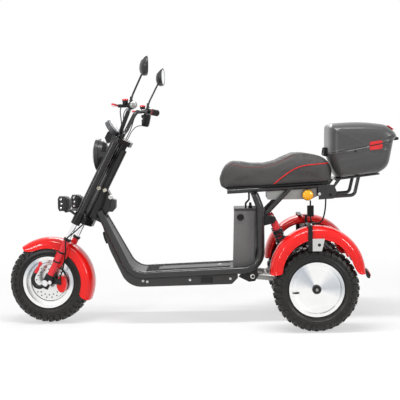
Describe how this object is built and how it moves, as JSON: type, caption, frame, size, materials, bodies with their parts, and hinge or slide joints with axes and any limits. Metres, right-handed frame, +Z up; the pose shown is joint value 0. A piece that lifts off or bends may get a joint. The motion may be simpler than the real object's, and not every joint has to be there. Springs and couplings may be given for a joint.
{
  "type": "electric trike",
  "caption": "Electric trike with a low step-through frame, raked fork, two rear wheels under red fenders, a padded saddle and a hinged top box on a rear rack.",
  "frame": {"origin": "on the floor, under the middle of the vehicle's length and width", "axes": "+X forward, +Y to the rider's left, +Z up"},
  "size_m": [2.0583, 0.759, 1.3795],
  "materials": {
    "red_paint": "gloss red paint",
    "black_paint": "semi-gloss black paint",
    "alloy": "turned bright alloy",
    "chrome": "polished",
    "tyre": "matt rubber",
    "rubber": "matt rubber",
    "seat_cover": "grained dark cover",
    "dark_plastic": "grained dark plastic",
    "clear_lens": "clear",
    "amber_lens": "amber lens",
    "red_lens": "red lens"
  },
  "bodies": {
    "chassis": {"frame_tube_left": "black_paint", "frame_tube_right": "black_paint", "neck": "black_paint", "footboard": "black_paint", "belly_pan": "black_paint", "lock_box": "dark_plastic", "horn": "black_paint", "battery": "dark_plastic", "battery_lead": "rubber", "seat_frame": "black_paint", "seat": "seat_cover", "controller_box": "dark_plastic", "side_lamps": "amber_lens", "rack": "black_paint", "lamp_plug": "dark_plastic", "lamp_lead": "rubber", "box_tub": "dark_plastic", "pivot_plates": "black_paint", "swing_arm": "alloy", "rear_axle": "alloy", "drive_motor": "alloy", "shock_bodies": "red_paint", "shock_springs": "black_paint", "shock_mount": "black_paint", "rear_fender_left": "red_paint", "rear_fender_right": "red_paint", "fender_stays": "black_paint", "fender_plates": "alloy"},
    "steering": {"fork_sliders": "red_paint", "fork_stanchions": "chrome", "fork_upper_tubes": "black_paint", "fork_ends": "black_paint", "front_axle": "alloy", "lower_yoke": "black_paint", "upper_yoke": "black_paint", "handlebar": "black_paint", "grips": "rubber", "headlight_shell": "dark_plastic", "headlight_bezel": "chrome", "headlight_lens": "clear_lens", "instrument": "dark_plastic", "aux_lamps": "dark_plastic", "front_fender": "red_paint", "front_caliper": "red_paint", "lever_clamps": "dark_plastic", "brake_levers": "red_paint", "switch_box": "dark_plastic", "mirrors": "dark_plastic", "brake_hose": "rubber"},
    "front_wheel": {"front_tyre": "tyre", "front_rim": "alloy", "front_brake_disc": "alloy"},
    "rear_wheel_left": {"rear_tyre_left": "tyre", "rear_rim_left": "alloy"},
    "rear_wheel_right": {"rear_tyre_right": "tyre", "rear_rim_right": "alloy"},
    "box_lid": {"box_lid": "dark_plastic", "tail_lamp": "red_lens"}
  },
  "joints": [
    {"name": "steering", "type": "hinge", "parent": "chassis", "child": "steering", "pos_m": [0.78301, 0, 0.19997], "axis": [-0.4586, 0, 0.8886], "range_deg": [-29, 41]},
    {"name": "front_wheel_spin", "type": "hinge", "parent": "steering", "child": "front_wheel", "pos_m": [0.81483, -0.00376, 0.21639], "axis": [0.0929, 0.9945, 0.0479], "continuous": true},
    {"name": "rear_left_spin", "type": "hinge", "parent": "chassis", "child": "rear_wheel_left", "pos_m": [-0.563, 0.296, 0.215], "axis": [0, 1, 0], "continuous": true},
    {"name": "rear_right_spin", "type": "hinge", "parent": "chassis", "child": "rear_wheel_right", "pos_m": [-0.563, -0.296, 0.215], "axis": [0, 1, 0], "continuous": true},
    {"name": "lid_hinge", "type": "hinge", "parent": "chassis", "child": "box_lid", "pos_m": [-0.641, 0, 0.868], "axis": [0, 1, 0], "range_deg": [0, 75]}
  ]
}
